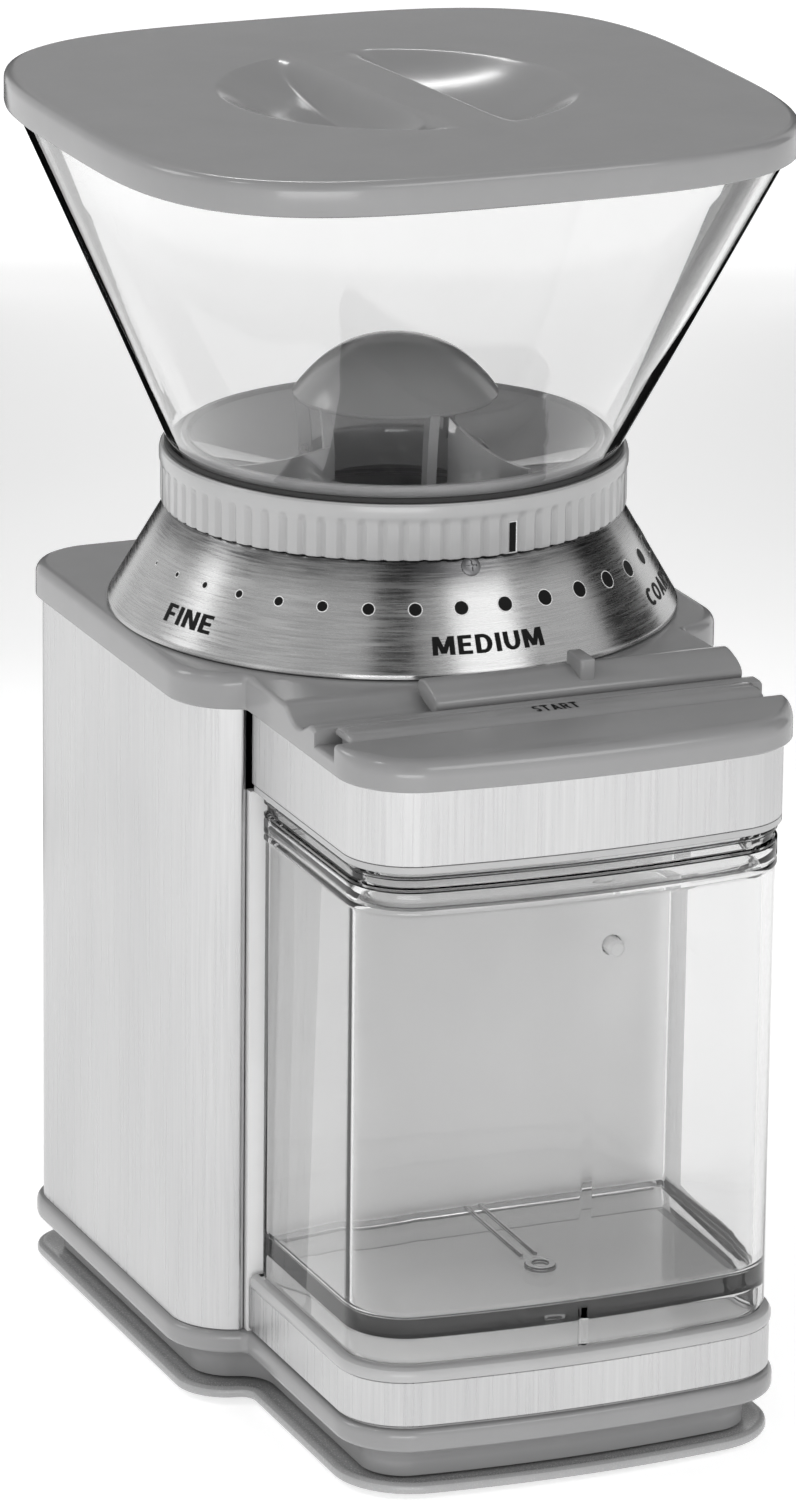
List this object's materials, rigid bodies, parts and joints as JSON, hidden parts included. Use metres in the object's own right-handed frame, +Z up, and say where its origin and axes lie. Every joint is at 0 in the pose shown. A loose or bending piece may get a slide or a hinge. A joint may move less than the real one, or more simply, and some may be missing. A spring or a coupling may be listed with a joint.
{
  "type": "burr coffee grinder",
  "caption": "Electric burr coffee grinder with a clear turning hopper, steel dial cone, sliding cup selector, start bar and a pull-out clear grounds container.",
  "frame": {"origin": "middle of the footprint, on the surface it stands on; the burr axis is 16.75 mm behind it", "axes": "+Z up, -Y towards the grounds container, +X to the right seen from the front"},
  "size_m": [0.15, 0.1862, 0.273],
  "materials": {
    "grey_plastic": "satin mid-grey moulding",
    "dark_plastic": "black moulding",
    "brushed_skin": "vertical brushing",
    "brushed_dial": "brushing round the cone",
    "bright_steel": "turned or plated steel",
    "bronze": "sintered bronze",
    "rubber": "matt",
    "circuit_board": "green laminate",
    "clear_plastic": "clear moulding",
    "smoky_plastic": "smoky clear moulding"
  },
  "bodies": {
    "housing": {"base_plate": "grey_plastic", "rubber_foot_1": "rubber", "rubber_foot_2": "rubber", "rubber_foot_3": "rubber", "rubber_foot_4": "rubber", "base_tray": "grey_plastic", "base_screw_1": "bright_steel", "base_screw_2": "bright_steel", "base_screw_3": "bright_steel", "base_screw_4": "bright_steel", "cord_gland": "rubber", "body_skin": "brushed_skin", "bay_wall": "grey_plastic", "base_band": "brushed_skin", "container_platform": "grey_plastic", "head_skin": "brushed_skin", "head_frame": "grey_plastic", "top_cover": "grey_plastic", "dial_cone": "brushed_dial", "cone_screw_1": "bright_steel", "cone_screw_2": "bright_steel", "cone_screw_3": "bright_steel", "inner_frame": "dark_plastic", "gearbox_cover": "dark_plastic", "lower_bearing": "bronze", "upper_bearing": "bronze", "motor_can": "bright_steel", "motor_end_bell": "bright_steel", "stator_core": "bright_steel", "grind_chamber": "dark_plastic", "head_housing": "dark_plastic", "grounds_chute": "dark_plastic", "control_board": "circuit_board", "selector_pot": "dark_plastic", "start_switch": "dark_plastic", "start_spring_left": "bright_steel", "start_spring_right": "bright_steel", "interlock_switch": "dark_plastic"},
    "adjuster": {"adjusting_ring": "dark_plastic"},
    "hopper_set": {"hopper_collar": "grey_plastic", "hopper": "clear_plastic", "hopper_floor": "smoky_plastic", "bean_guard": "grey_plastic"},
    "lid": {"lid": "grey_plastic"},
    "burr_carriage": {"upper_burr": "bright_steel", "burr_holder": "dark_plastic"},
    "burr_set": {"burr_shaft": "bright_steel", "drive_gear": "dark_plastic", "impeller": "dark_plastic", "lower_burr": "bright_steel"},
    "rotor": {"motor_rotor": "bright_steel", "motor_pinion": "bronze"},
    "selector": {"cup_selector": "grey_plastic"},
    "start": {"start_bar": "grey_plastic"},
    "interlock": {"interlock_pin": "grey_plastic"},
    "container": {"grounds_container": "clear_plastic", "container_lid": "clear_plastic"}
  },
  "joints": [
    {"name": "grind_turn", "type": "hinge", "parent": "housing", "child": "adjuster", "pos_m": [0, 0.01675, 0.17], "axis": [0, 0, 1], "range_deg": [-97.4, 78.7]},
    {"name": "hopper_lift", "type": "slide", "parent": "adjuster", "child": "hopper_set", "axis": [0, 0, 1], "range_m": [0, 0.06]},
    {"name": "lid_lift", "type": "slide", "parent": "hopper_set", "child": "lid", "axis": [0, 0, 1], "range_m": [0, 0.05]},
    {"name": "upper_burr_rise", "type": "slide", "parent": "housing", "child": "burr_carriage", "axis": [0, 0, 1], "range_m": [-0.00056, 0.00046]},
    {"name": "motor_spin", "type": "hinge", "parent": "housing", "child": "rotor", "pos_m": [0, 0.04825, 0.08], "axis": [0, 0, 1], "continuous": true},
    {"name": "burr_spin", "type": "hinge", "parent": "housing", "child": "burr_set", "pos_m": [0, 0.01675, 0.13], "axis": [0, 0, 1], "continuous": true},
    {"name": "selector_slide", "type": "slide", "parent": "housing", "child": "selector", "axis": [-1, 0, 0], "range_m": [0, 0.027]},
    {"name": "start_press", "type": "slide", "parent": "housing", "child": "start", "axis": [0, 0, -1], "range_m": [0, 0.0018], "stiffness_N_per_m": 600, "springref_m": -0.001, "deforming": ["start_spring_left", "start_spring_right"]},
    {"name": "interlock_press", "type": "slide", "parent": "housing", "child": "interlock", "axis": [0, 1, 0], "range_m": [0, 0.0015], "stiffness_N_per_m": 300, "springref_m": -0.001},
    {"name": "container_pull", "type": "slide", "parent": "housing", "child": "container", "axis": [0, -1, 0], "range_m": [0, 0.075]}
  ],
  "couplings": [
    {"joint": "upper_burr_rise", "follows": "grind_turn", "m_per_rad": 0.00031831},
    {"joint": "burr_spin", "follows": "motor_spin", "ratio": -0.3125}
  ]
}
